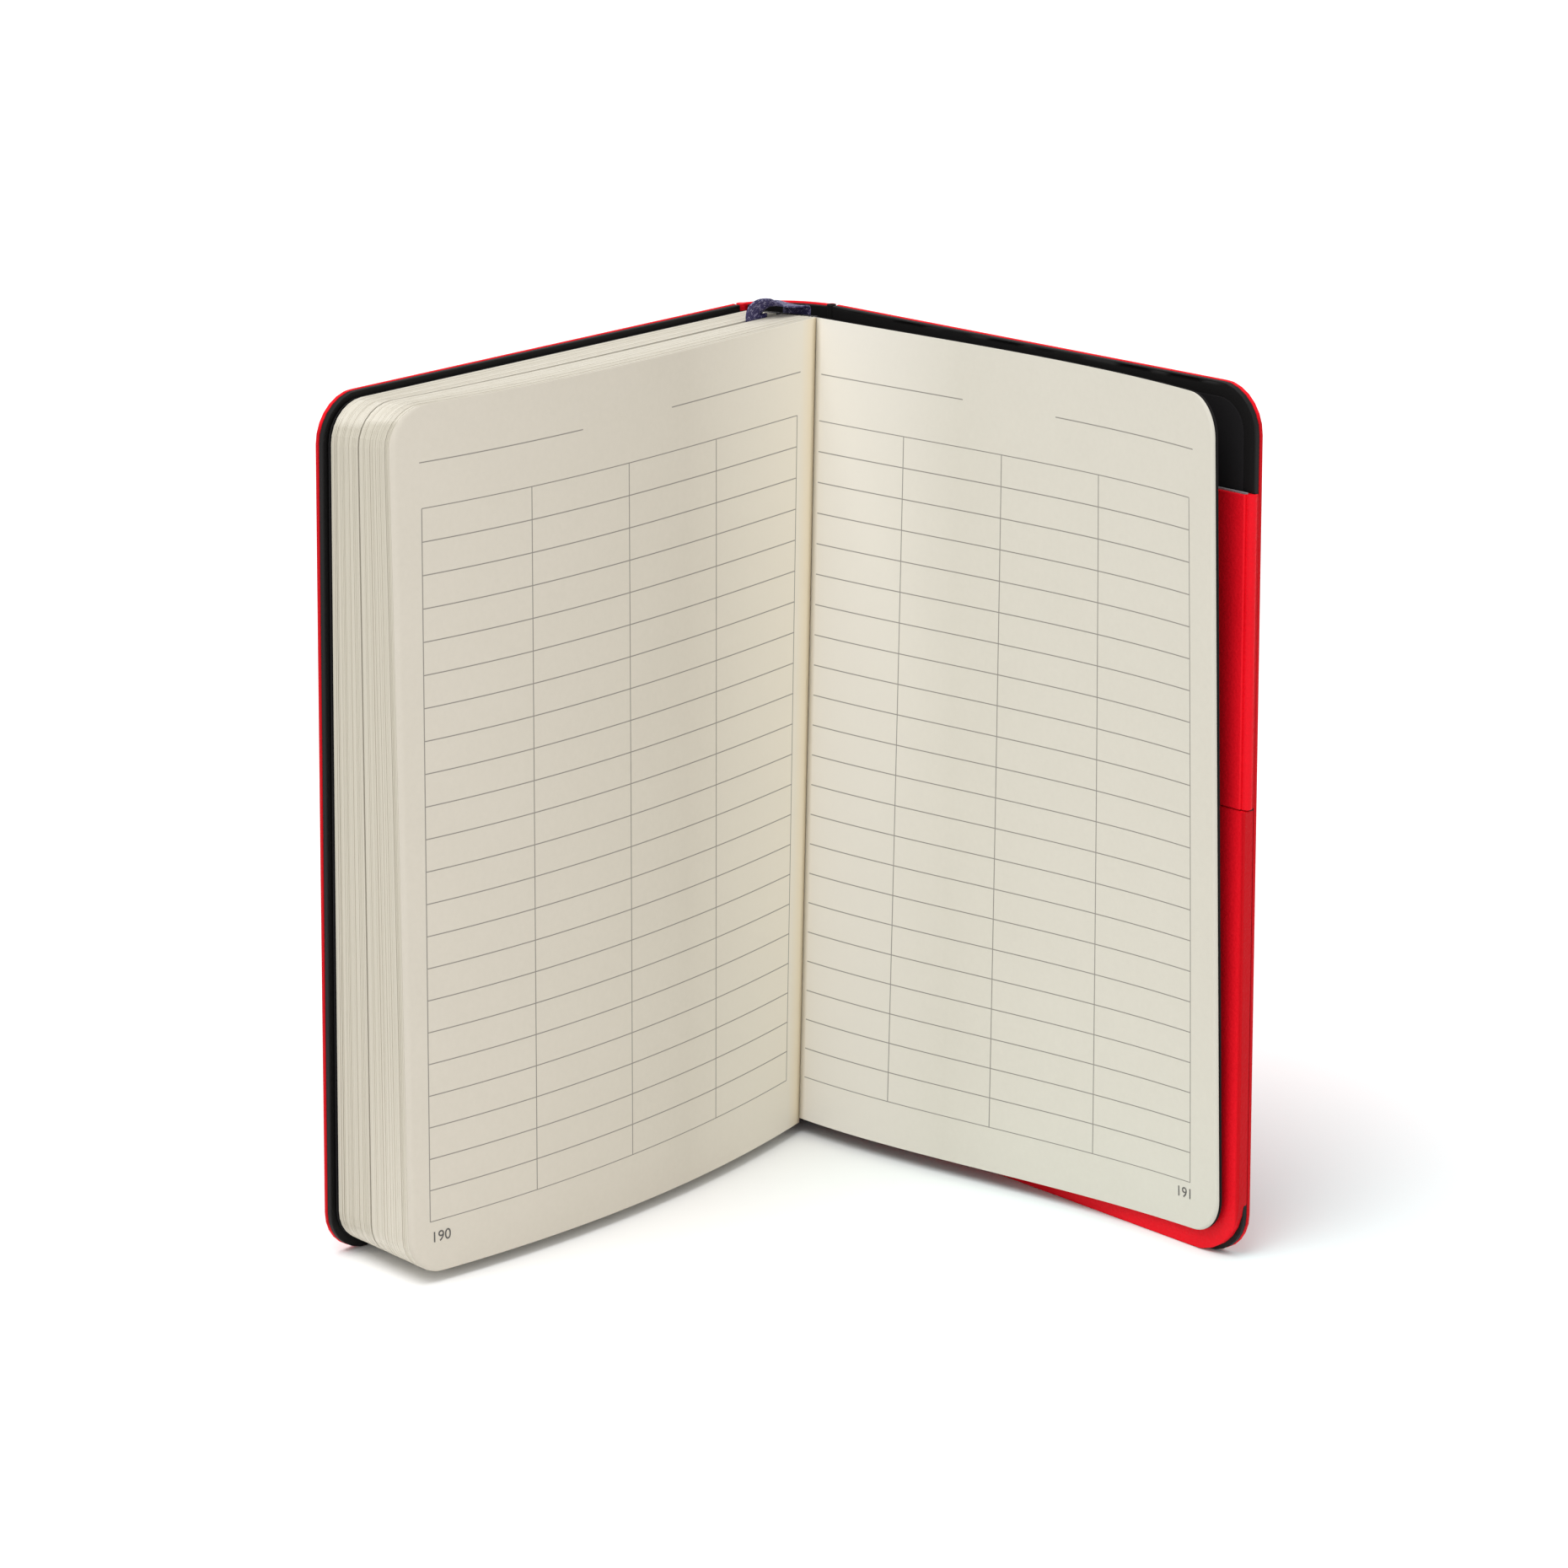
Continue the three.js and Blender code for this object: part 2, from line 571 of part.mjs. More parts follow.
// The pocket on the inside of the back cover: a panel with walls on three sides, open at the top.
function addPocket() {
  const back = -(coverHalf + 2 * glueGap + pastedownThick);
  const front = back - pocketDepth;
  const edge = coverWidth - pocketInset;
  const whole = outline(pocketStart, edge, pocketInset, pocketTop, [0, pocketCorner, 0, 0]);
  const hollow = outline(pocketStart + pocketWall, edge - pocketWall, pocketInset + pocketWall,
    pocketTop + 1, [0, pocketCorner - pocketWall, 0, 0]);
  const solid = toSolid(plate(whole, front, back)).subtract(toSolid(plate(hollow, front + pocketSkin, back + 1)));
  backLeg.add(piece('pocket_panel', toGeometry(solid), skinRed));
}

addSpine();
addCover(frontLeg, 'front_cover', 1, null);
addCover(backLeg, 'back_cover', -1, {
  depth: 2 * foldRoll + foldClear,
  low: flapBottom - foldClear,
  high: flapTop + foldClear,
});
addTextBlock();
addBlockBack();
addRibbon();
addLooseLeaves();
addFlap();
addPocket();

export default notebook;
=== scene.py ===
# Looks of the soft-covered notebook, standing open on its tail.
# Lengths are in millimetres and are turned into metres when a mesh is made.
import math
import bpy
import numpy as np
from mathutils import Matrix, Vector


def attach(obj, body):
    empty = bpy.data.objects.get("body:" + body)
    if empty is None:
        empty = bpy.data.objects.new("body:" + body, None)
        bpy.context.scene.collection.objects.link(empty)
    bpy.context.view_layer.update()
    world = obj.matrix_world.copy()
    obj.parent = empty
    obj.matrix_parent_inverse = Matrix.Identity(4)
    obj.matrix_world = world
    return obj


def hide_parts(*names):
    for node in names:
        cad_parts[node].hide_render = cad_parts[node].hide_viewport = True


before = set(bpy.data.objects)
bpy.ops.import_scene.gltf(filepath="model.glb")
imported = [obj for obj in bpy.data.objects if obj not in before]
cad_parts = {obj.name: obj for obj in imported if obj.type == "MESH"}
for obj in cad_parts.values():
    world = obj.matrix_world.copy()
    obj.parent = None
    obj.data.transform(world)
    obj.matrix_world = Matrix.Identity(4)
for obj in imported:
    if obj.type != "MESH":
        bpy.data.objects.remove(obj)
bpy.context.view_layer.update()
print("frame loaded")

mm = 0.001
rng = np.random.default_rng(190)

# Camera, fitted to the corners and edges in the photograph. Its angles are in radians.
cameraSet = {
    "lens": 109.31,
    "place": (-1.76, -987.97, 371.84),
    "pitch": 0.2929,
    "roll": -0.0131,
}

# The case and the two legs. A leg's angle is measured from the spine's line.
caseSet = {
    "width": 120.0,
    "height": 180.0,
    "corner": 9.5,
    "spine": 19.0,
    "skew": 2.5,
    "bulge": 3.0,
    "half": 1.05,
    "hinge": 1.2,
    "frontTail": 43.8,
    "frontHead": 47.7,
    "back": 47.5,
}
frontY = caseSet["skew"] / 2 - caseSet["bulge"]
backY = frontY - caseSet["skew"]


# The value a share of the way from low to high.
def mixed(low, high, share):
    return low + (high - low) * share


# A leg's own measures: u runs from the hinge to the fore-edge, v towards the reader, and both are turned
# about the hinge by the leg's lean. The front leg's lean grows evenly from tail to head.
def frontAt(u, v, z):
    lean = np.radians(180 + mixed(caseSet["frontTail"], caseSet["frontHead"], z / caseSet["height"]))
    x = -caseSet["spine"] / 2 + u * np.cos(lean) - v * np.sin(lean)
    y = frontY + u * np.sin(lean) + v * np.cos(lean)
    return x, y, z + 0 * u


def backAt(u, v, z):
    lean = math.radians(-caseSet["back"])
    x = caseSet["spine"] / 2 + u * math.cos(lean) + v * math.sin(lean)
    y = backY + u * math.sin(lean) - v * math.cos(lean)
    return x, y, z + 0 * u


# On the spine u runs across and v inwards from its middle line, an even slope plus a parabola.
def spineAt(u, v, z):
    share = u / caseSet["spine"] + 0.5
    y = frontY - caseSet["skew"] * share + caseSet["bulge"] * 4 * share * (1 - share) - v
    return u, y, z + 0 * u


# Small language for shader sums: a value wraps a socket, and a sum of values adds its Math nodes.
class Value:
    def __init__(self, tree, socket):
        self.tree = tree
        self.socket = socket

    def sum(self, operation, other=None):
        node = self.tree.nodes.new("ShaderNodeMath")
        node.operation = operation
        for slot, item in zip(node.inputs, (self, other)):
            if isinstance(item, Value):
                self.tree.links.new(item.socket, slot)
            elif item is not None:
                slot.default_value = item
        return Value(self.tree, node.outputs[0])

    def __add__(self, other):
        return self.sum("ADD", other)

    def __radd__(self, other):
        return self.sum("ADD", other)

    def __sub__(self, other):
        return self.sum("SUBTRACT", other)

    def __rsub__(self, other):
        return self.sum("MULTIPLY", -1.0).sum("ADD", other)

    def __mul__(self, other):
        return self.sum("MULTIPLY", other)

    def __rmul__(self, other):
        return self.sum("MULTIPLY", other)

    def __truediv__(self, other):
        return self.sum("DIVIDE", other)

    def clip(self):
        return self.sum("MAXIMUM", 0.0).sum("MINIMUM", 1.0)

    def within(self, low, high, soft):
        up = ((self - low) / soft + 0.5).clip()
        down = ((high - self) / soft + 0.5).clip()
        return up * down


# A material on the principled shader, with short ways to add its nodes.
class Surface:
    def __init__(self, name, colour, roughness, **fixed):
        self.material = bpy.data.materials.new(name)
        self.material.use_nodes = True
        self.tree = self.material.node_tree
        self.shader = self.tree.nodes["Principled BSDF"]
        self.shader.inputs["Base Color"].default_value = (*colour, 1)
        self.shader.inputs["Roughness"].default_value = roughness
        for key, value in fixed.items():
            self.shader.inputs[key.replace("_", " ")].default_value = value

    def node(self, kind, settings=None, **inputs):
        made = self.tree.nodes.new(kind)
        for key, value in (settings or {}).items():
            setattr(made, key, value)
        for key, value in inputs.items():
            self.put(made.inputs[key.replace("_", " ")], value)
        return made

    def put(self, slot, value):
        if isinstance(value, Value):
            self.tree.links.new(value.socket, slot)
        elif isinstance(value, bpy.types.NodeSocket):
            self.tree.links.new(value, slot)
        else:
            slot.default_value = value

    def place(self):
        return self.node("ShaderNodeTexCoord").outputs["Object"]

    def page(self):
        split = self.node("ShaderNodeSeparateXYZ")
        self.tree.links.new(self.node("ShaderNodeUVMap", {"uv_map": "page"}).outputs[0], split.inputs[0])
        return Value(self.tree, split.outputs[0]) * 100.0, Value(self.tree, split.outputs[1]) * 100.0

    def noise(self, scale, detail=3.0):
        made = self.node("ShaderNodeTexNoise", None, Scale=scale, Detail=detail)
        self.tree.links.new(self.place(), made.inputs["Vector"])
        return Value(self.tree, made.outputs[0])

    def cells(self, scale):
        made = self.node("ShaderNodeTexVoronoi", {"feature": "SMOOTH_F1"}, Scale=scale)
        self.tree.links.new(self.place(), made.inputs["Vector"])
        return Value(self.tree, made.outputs[0])

    def mix(self, amount, low, high):
        made = self.node("ShaderNodeMix", {"data_type": "RGBA"})
        self.put(made.inputs[0], amount)
        for slot, item in ((made.inputs[6], low), (made.inputs[7], high)):
            self.put(slot, (*item, 1) if isinstance(item, tuple) else item)
        return made.outputs[2]

    def bump(self, height, depth, strength=1.0):
        made = self.node("ShaderNodeBump", None, Strength=strength, Distance=depth)
        self.put(made.inputs["Height"], height)
        self.tree.links.new(made.outputs[0], self.shader.inputs["Normal"])

    def colour(self, socket):
        self.put(self.shader.inputs["Base Color"], socket)

    def rough(self, socket):
        self.put(self.shader.inputs["Roughness"], socket)


clothSet = {
    "cells": 1700.0,
    "fine": 4200.0,
    "broad": 55.0,
    "dark": (0.66, 0.0025, 0.009),
    "light": (0.85, 0.006, 0.017),
    # Painted shade where the cloth turns over an edge, and where it starts.
    "turned": (0.52, 0.001, 0.006),
    "edgeShadeFrom": 118.9,
    "edgeShadeOver": 0.7,
}


# Red cover cloth: leather grain is cells plus fine noise, and the grain also varies the roughness a little.
# Past a distance from the hinge, where the cloth turns over an edge, painted shade makes it darker.
def redCloth():
    q = clothSet
    s = Surface("redCloth", (0.78, 0.005, 0.014), 0.48, Specular_IOR_Level=0.1)
    grain = s.cells(q["cells"]) * 0.8 + s.noise(q["fine"], 2.0) * 0.4
    broad = s.noise(q["broad"], 2.0) * 0.6 + grain * 0.5
    # Painted shade: the cloth grows darker where it turns over an edge.
    turned = ((s.page()[0] - q["edgeShadeFrom"]) / q["edgeShadeOver"]).clip()
    s.colour(s.mix(turned, s.mix(broad, q["dark"], q["light"]), q["turned"]))
    s.bump(grain, 0.00012, 0.7)
    s.rough(0.42 + grain * 0.2)
    return s.material


# Black lining: the same kind of grain, finer and duller.
def blackLining():
    s = Surface("blackLining", (0.006, 0.0053, 0.0053), 0.6, Specular_IOR_Level=0.2)
    s.bump(s.cells(3200.0) * 0.6 + s.noise(6500.0, 2.0) * 0.4, 0.00005, 0.4)
    return s.material


# Black endpaper: matte, with a faint fibre.
def blackPaper():
    s = Surface("blackPaper", (0.009, 0.0082, 0.009), 0.8, Specular_IOR_Level=0.2)
    s.bump(s.noise(2200.0, 4.0), 0.00004, 0.4)
    return s.material


paperSet = {
    "dark": (0.63, 0.59, 0.50),
    "light": (0.69, 0.655, 0.575),
    # Painted shade on the leaves' fore-edge face, and where it starts.
    "cut": (0.545, 0.51, 0.425),
    "cutFrom": 116.6,
    "cutOver": 0.8,
    # Painted warm shade in the gutter.
    "gutter": (0.86, 0.72, 0.48),
    "print": (0.15, 0.14, 0.13),
}


# Plain leaf: cream, a little lighter or darker in patches, and darker along the cut fore-edge with painted
# shade.
def leafPaper():
    q = paperSet
    s = Surface("leafPaper", (0.64, 0.61, 0.53), 0.85, Specular_IOR_Level=0.2)
    # Painted shade darkens the leaves' fore-edge face.
    cut = ((s.page()[0] - q["cutFrom"]) / q["cutOver"]).clip()
    s.colour(s.mix(cut, s.mix(s.noise(420.0, 3.0), q["dark"], q["light"]), q["cut"]))
    return s.material


# Printed page: straight rules where the distance from the gutter or from the header nears a step, and two at
# the top. The print runs a little off square. Painted light makes the paper paler towards the gutter, and
# painted warm shade makes it yellower right at the gutter.
def printedPage(name, printSet):
    s = Surface(name, (0.80, 0.77, 0.69), 0.8, Specular_IOR_Level=0.2)
    across, height = s.page()
    up = height + across * printSet["tilt"]
    soft = printSet["soft"]
    half = printSet["line"] / 2
    marks = None
    table = across.within(printSet["rowsFrom"], printSet["right"], soft)
    foot = printSet["header"] - printSet["rows"] * printSet["pitch"]
    tall = up.within(foot, printSet["header"], soft)
    for k in range(printSet["columns"] + 1):
        place = printSet["left"] + printSet["step"] * k
        line = across.within(place - half, place + half, soft) * tall
        marks = line if marks is None else marks.sum("MAXIMUM", line)
    fromHeader = (printSet["header"] - up) / printSet["pitch"]
    near = (fromHeader - fromHeader.sum("ROUND")).sum("ABSOLUTE") * printSet["pitch"]
    rows = ((half - near) / soft + 0.5).clip() * table
    rows = rows * up.within(foot - half, printSet["header"] + half, soft)
    marks = marks.sum("MAXIMUM", rows)
    top = up.within(printSet["topAt"] - half, printSet["topAt"] + half, soft)
    for low, high in printSet["topRules"]:
        marks = marks.sum("MAXIMUM", across.within(low, high, soft) * top)
    fibre = s.noise(900.0, 4.0) * 0.6 + s.noise(60.0, 2.0) * 0.4
    paper = s.mix(fibre, printSet["dark"], printSet["light"])
    # Painted light makes the paper paler towards the gutter.
    pale = (1.0 - (across / printSet["paintedLightWidth"])).clip() * printSet["pale"]
    paper = s.mix(pale, paper, printSet["paintedLightTone"])
    # Painted warm shade makes the paper yellower right at the gutter.
    gutter = (1.0 - (across / printSet["gutterWidth"])).clip() * printSet["gutterTint"]
    paper = s.mix(gutter, paper, paperSet["gutter"])
    s.colour(s.mix(marks * printSet["ink"], paper, paperSet["print"]))
    s.bump(s.noise(1800.0, 3.0), 0.00003, 0.3)
    return s.material


# Ribbon: a plain weave, the product of a sine of the length and a sine of the way across, and a few pale
# threads where a fine noise runs high.
def ribbonCloth():
    s = Surface("ribbonCloth", (0.03, 0.024, 0.10), 0.45)
    across, up = s.page()
    weave = (up * 11.0).sum("SINE") * (across * 24.0).sum("SINE") * 0.5 + 0.5
    pale = ((s.noise(1700.0, 2.0) - 0.50) * 8.0).clip() * weave
    cloth = s.mix(weave, (0.014, 0.011, 0.055), (0.05, 0.04, 0.16))
    s.colour(s.mix(pale, cloth, (0.42, 0.39, 0.60)))
    s.bump(weave, 0.0001, 0.8)
    return s.material


# Band: slanting stitches, their height a sine of the length plus the way round.
def bandCloth():
    s = Surface("bandCloth", (0.02, 0.018, 0.02), 0.7)
    across, up = s.page()
    twist = (up * 7.0 + across * 2.0).sum("SINE") * 0.5 + 0.5
    s.colour(s.mix(twist, (0.010, 0.009, 0.010), (0.045, 0.04, 0.042)))
    s.bump(twist, 0.00015, 0.8)
    return s.material


# Gauze: off-white, its threads' height a noise.
def gauzeCloth():
    s = Surface("gauzeCloth", (0.72, 0.70, 0.65), 0.95)
    s.bump(s.noise(1500.0, 2.0), 0.00010, 0.6)
    return s.material


# Printing ink for the page numbers, a little uneven.
def inkFlat():
    s = Surface("ink", (0.09, 0.085, 0.08), 0.8)
    s.colour(s.mix(s.noise(3000.0, 2.0), (0.07, 0.066, 0.062), (0.12, 0.114, 0.108)))
    return s.material


# The cut edge of the flap's lining: grey threads, their height a fine noise. The grey is partly the edge's
# own pale core and partly a painted glint.
def cutEdge():
    s = Surface("cutEdge", (0.20, 0.20, 0.21), 0.8)
    threads = s.noise(4200.0, 2.0)
    s.colour(s.mix(threads, (0.08, 0.08, 0.09), (0.42, 0.42, 0.44)))
    s.bump(threads, 0.0001, 0.6)
    return s.material


red = redCloth()
lining = blackLining()
paperBlack = blackPaper()
leafCream = leafPaper()
ribbonNavy = ribbonCloth()
bandBlack = bandCloth()
gauzeWhite = gauzeCloth()
ink = inkFlat()
edgeGreyAndGlint = cutEdge()
print("surfaces made")


# Rows of z with a quarter turn at each rounded corner, and how far each row is drawn back there.
def rowsOf(z0, z1, radii, cornerSteps, middleSteps):
    lowRadius, highRadius = radii
    turn = np.linspace(0, math.pi / 2, cornerSteps + 1)
    low = z0 + lowRadius * (1 - np.cos(turn))
    high = z1 - highRadius * (1 - np.cos(turn[::-1]))
    middle = np.linspace(z0 + lowRadius, z1 - highRadius, middleSteps + 1)[1:-1]
    back = [lowRadius * (1 - np.sin(turn)), 0 * middle, highRadius * (1 - np.sin(turn[::-1]))]
    z = [low, middle, high]
    if lowRadius == 0:
        z[0] = z[0][-1:]
        back[0] = back[0][-1:]
    if highRadius == 0:
        z[2] = z[2][:1]
        back[2] = back[2][:1]
    return np.concatenate(z), np.concatenate(back)


# A flat sheet between two u values at one height v.
def flatSheet(u0, u1, v):
    def sheet(along, z):
        return mixed(u0, u1, along) + 0 * z, v + 0 * along + 0 * z
    return sheet


# A closed slab between two sheets, as vertices, faces and page measures (arc length, z). Each row of z runs
# over even shares of the sheet, all shortened where a rounded corner draws the row back.
def slabData(at, low, high, z0, z1, radii, width=1.0, columns=18, middleSteps=16, cornerSteps=7):
    z, back = rowsOf(z0, z1, radii, cornerSteps, middleSteps)
    share = (1 - back[:, None] / width) * np.linspace(0, 1, columns)[None, :]
    zz = z[:, None] + 0 * share
    sides = []
    pages = []
    for sheet in (low, high):
        u, v = sheet(share, zz)
        points = np.stack(at(u, v, zz), axis=-1)
        step = np.linalg.norm(np.diff(points[:, :, :2], axis=1), axis=2)
        arc = np.concatenate([np.zeros((len(z), 1)), np.cumsum(step, axis=1)], axis=1)
        sides.append(points.reshape(-1, 3))
        pages.append(np.stack([arc, zz], axis=-1).reshape(-1, 2))
    rows = len(z)
    total = rows * columns
    index = np.arange(total).reshape(rows, columns)
    a, b, c, d = index[:-1, :-1], index[:-1, 1:], index[1:, 1:], index[1:, :-1]
    lowFaces = np.stack([a, b, c, d], axis=-1).reshape(-1, 4)
    highFaces = np.stack([a, d, c, b], axis=-1).reshape(-1, 4) + total
    rim = np.concatenate([index[0, :], index[1:, -1], index[-1, :-1][::-1], index[1:-1, 0][::-1]])
    after = np.roll(rim, -1)
    rimFaces = np.stack([rim, rim + total, after + total, after], axis=-1)
    return np.concatenate(sides), np.concatenate([lowFaces, highFaces, rimFaces]), np.concatenate(pages)


# A mesh object in metres, with the page measures as its map.
def makeObject(name, verts, faces, page, material, smooth=True):
    mesh = bpy.data.meshes.new(name)
    mesh.vertices.add(len(verts))
    mesh.vertices.foreach_set("co", (verts * mm).astype(np.float32).ravel())
    mesh.loops.add(faces.size)
    mesh.loops.foreach_set("vertex_index", faces.astype(np.int32).ravel())
    mesh.polygons.add(len(faces))
    size = faces.shape[1]
    mesh.polygons.foreach_set("loop_start", np.arange(0, faces.size, size, dtype=np.int32))
    mesh.update(calc_edges=True)
    layer = mesh.uv_layers.new(name="page")
    layer.data.foreach_set("uv", (page[faces.ravel()] / 100).astype(np.float32).ravel())
    mesh.polygons.foreach_set("use_smooth", np.full(len(faces), smooth))
    mesh.validate()
    mesh.materials.append(material)
    made = bpy.data.objects.new(name, mesh)
    bpy.context.scene.collection.objects.link(made)
    return made


# Rounds the sharp edges of an object, those that turn by more than 50 degrees.
def softEdges(made, width):
    bevel = made.modifiers.new("edge", "BEVEL")
    bevel.width = width * mm
    bevel.segments = 3
    bevel.limit_method = "ANGLE"
    bevel.angle_limit = math.radians(50)
    bevel.harden_normals = True
    return made


# Gives a finished object its body and hides the solids that it stands for. Its slot is not used.
def settle(made, body, slot, *nodes):
    if nodes:
        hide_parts(*nodes)
    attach(made, body)


# A plate: the slab between two flat sheets, with its page measured from u = 0 and its edges softened.
def plate(name, at, material, box, heights, radii, edge, **more):
    u0, u1, z0, z1 = box
    verts, faces, page = slabData(at, flatSheet(u0, u1, heights[0]), flatSheet(u0, u1, heights[1]), z0, z1,
                                  radii, u1 - u0, **more)
    return softEdges(makeObject(name, verts, faces, page + np.array([u0, 0]), material), edge)


# A closed profile carried along a path. Each station has a centre and two directions.
def sweep(name, centres, across, through, profile, material, edge=0.0):
    centres, across, through = (np.asarray(item, float) for item in (centres, across, through))
    count = len(profile)
    rings = (centres[:, None, :] + across[:, None, :] * profile[None, :, :1]
             + through[:, None, :] * profile[None, :, 1:])
    step = np.linalg.norm(np.diff(centres, axis=0), axis=1)
    length = np.concatenate([[0], np.cumsum(step)])
    around = np.linspace(0, 1, count) * 2 * math.pi
    page = np.stack(np.broadcast_arrays(around[None, :], length[:, None]), axis=-1).reshape(-1, 2)
    rows = len(centres)
    index = np.arange(rows * count).reshape(rows, count)
    after = np.roll(index, -1, axis=1)
    side = np.stack([index[:-1], after[:-1], after[1:], index[1:]], axis=-1).reshape(-1, 4)
    ends = []
    for row, flip in ((0, True), (rows - 1, False)):
        ring = index[row][::-1] if flip else index[row]
        for k in range(1, count - 2, 2):
            ends.append([ring[0], ring[k], ring[k + 1], ring[k + 2]])
    made = makeObject(name, rings.reshape(-1, 3), np.concatenate([side, np.array(ends)]), page, material)
    return softEdges(made, edge) if edge else made


# The points of a circle, at even turns.
def circle(radius):
    turn = np.linspace(0, 2 * math.pi, 25)[:-1]
    return np.stack([radius * np.cos(turn), radius * np.sin(turn)], axis=-1)


# A round rod that stands at one u and v, swept from z0 to z1.
def roller(name, at, u, v, radius, z0, z1, material, edge=0.25):
    z = np.linspace(z0, z1, 13)
    centres = np.column_stack(at(np.full(13, u), np.full(13, v), z))
    across = np.tile([1.0, 0, 0], (13, 1))
    through = np.tile([0, 1.0, 0], (13, 1))
    return sweep(name, centres, across, through, circle(radius), material, edge)


# Covers: a thin red skin outside, a black lining that reaches the cover's own edge, and a black sheet on it.
coverSet = {
    "skinHigh": -0.15,
    "skinEdge": 0.4,
    "liningHigh": 1.08,
    "liningEdge": 0.4,
    "tuck": 0.08,
    "pastedownInset": 3.0,
    "pastedownStart": 1.0,
    "pastedownHigh": 1.33,
    "pastedownEdge": 0.05,
}


def cover(at, body):
    q = coverSet
    w = caseSet["width"]
    h = caseSet["height"]
    r = caseSet["corner"]
    hinge = caseSet["hinge"]
    tuck = q["tuck"]
    skin = plate(body + "Skin", at, red, (hinge, w, 0, h), (-caseSet["half"], q["skinHigh"]), (r, r),
                 q["skinEdge"], columns=26)
    settle(skin, body, "red_skin", f"{body}_skin", f"{body}_board")
    inner = plate(body + "Lining", at, lining, (hinge + tuck, w - tuck, tuck, h - tuck),
                  (q["skinHigh"], q["liningHigh"]), (r - tuck, r - tuck), q["liningEdge"], columns=26)
    settle(inner, body, "black_lining", f"{body}_lining")
    inset = q["pastedownInset"]
    sheet = plate(body + "Pastedown", at, paperBlack,
                  (hinge + q["pastedownStart"], w - inset, inset, h - inset),
                  (q["liningHigh"], q["pastedownHigh"]), (r - inset, r - inset), q["pastedownEdge"],
                  columns=26)
    settle(sheet, body, "black_paper", f"{body}_pastedown")


cover(frontAt, "front_cover")
cover(backAt, "back_cover")
print("covers made")

# Spine: a bulged red strip with a lining inside, and beads that fill both hinges, given as v and radius.
spineSet = {
    "skinHigh": 0.1,
    "skinEdge": 0.4,
    "frontSide": 1.4,
    "backSide": 0.3,
    "mouth": 0.3,
    "edge": 0.3,
    "frontBead": (0.0, 1.0),
    "backBead": (-0.16, 0.98),
    "backLining": (0.14, 0.99),
}


def spine():
    q = spineSet
    half = caseSet["spine"] / 2
    h = caseSet["height"]
    skin = plate("spineSkin", spineAt, red, (-half, half, 0, h), (-caseSet["half"], q["skinHigh"]),
                 (0, 0), q["skinEdge"], columns=30)
    settle(skin, "spine", "red_skin", "spine_skin", "spine_stiffener")
    beads = (
        ("spineBeadFront", -half, q["frontBead"], red, "red_skin"),
        ("spineBeadBack", half, q["backBead"], red, "red_skin"),
        ("spineBeadInside", half, q["backLining"], lining, "black_lining"),
    )
    for name, side, (v, radius), material, slot in beads:
        settle(roller(name, spineAt, side, v, radius, 0.0, h, material, q["edge"]), "spine", slot)
    inner = plate("spineLining", spineAt, lining,
                  (q["frontSide"] - half, half - q["backSide"], q["mouth"], h - q["mouth"]),
                  (q["skinHigh"], caseSet["half"]), (0, 0), q["edge"], columns=30)
    settle(inner, "spine", "black_lining", "spine_lining")


spine()
print("spine made")

# Text block. The folds lie on a slanted back, and the leaves fan out towards the fore-edge.
blockSet = {
    "tail": 2.4,
    "top": 178.8,
    "corner": 8.0,
    "width": 118.0,
    "fold": 0.8,
    "backTail": -3.2,
    "backHead": 3.9,
    "foreFirst": 118.8,
    "foreTail": 119.8,
    "foreHead": 115.5,
    "front": 2.2,
    "atFold": 15.2,
    "atForeTail": 22.4,
    "atForeHead": 11.3,
    "archTail": 6.5,
    "archHead": 4.3,
    "swayTail": 0.1,
    "swayHead": -1.1,
    "slot": 1.25,
    "leaves": 95,
    "ribbonAfter": 44,
    "lastFrom": 88,
    "fill": 0.97,
    "groupGap": 0.5,
    "open": 0.2,
    "foreJitter": 0.045,
    "highJitter": 0.002,
    "topJitter": 0.03,
    "topMost": 0.06,
}


# A fold on the block's back. The back slants evenly from the first leaf to the last, and the slant changes
# evenly from tail to head.
def foldPoint(share, z):
    b = blockSet
    deep = mixed(b["backTail"], b["backHead"], z / caseSet["height"])
    return b["fold"] - deep * share, b["front"] + (b["atFold"] + b["slot"]) * share


# The sheet after a number of leaves: an even fan from fold to fore-edge plus an arch and a slight sway.
# The ribbon's slot is whole at the folds, and mostly shared out between the leaves at the fore-edge.
def leafSheet(count, offset=0.0):
    b = blockSet
    share = count / b["leaves"]
    slot = b["slot"] if count > b["ribbonAfter"] else 0.0
    spread = mixed(b["slot"] * share, slot, b["open"])
    fold = b["atFold"] * share

    def sheet(along, z):
        up = z / caseSet["height"]
        foldU, foldV = foldPoint((fold + slot) / (b["atFold"] + b["slot"]), z)
        fore = mixed(b["atForeTail"], b["atForeHead"], up) * share
        arch = mixed(b["archTail"], b["archHead"], up) * share * 4 * along * (1 - along)
        sway = mixed(b["swayTail"], b["swayHead"], up) * share * 8 * along * (1 - along) * (1 - 2 * along)
        foreU = mixed(b["foreFirst"], mixed(b["foreTail"], b["foreHead"], up), share)
        rise = mixed(fold + slot, fore + spread, along) + arch + sway
        return mixed(foldU, foreU, along), b["front"] + rise + offset
    return sheet


# A sheet that is stretched or drawn in evenly towards its fore-edge, and lifted a little.
def shifted(sheet, fore, high):
    def moved(along, z):
        u, v = sheet(along, z)
        return u + fore * along, v + high
    return moved


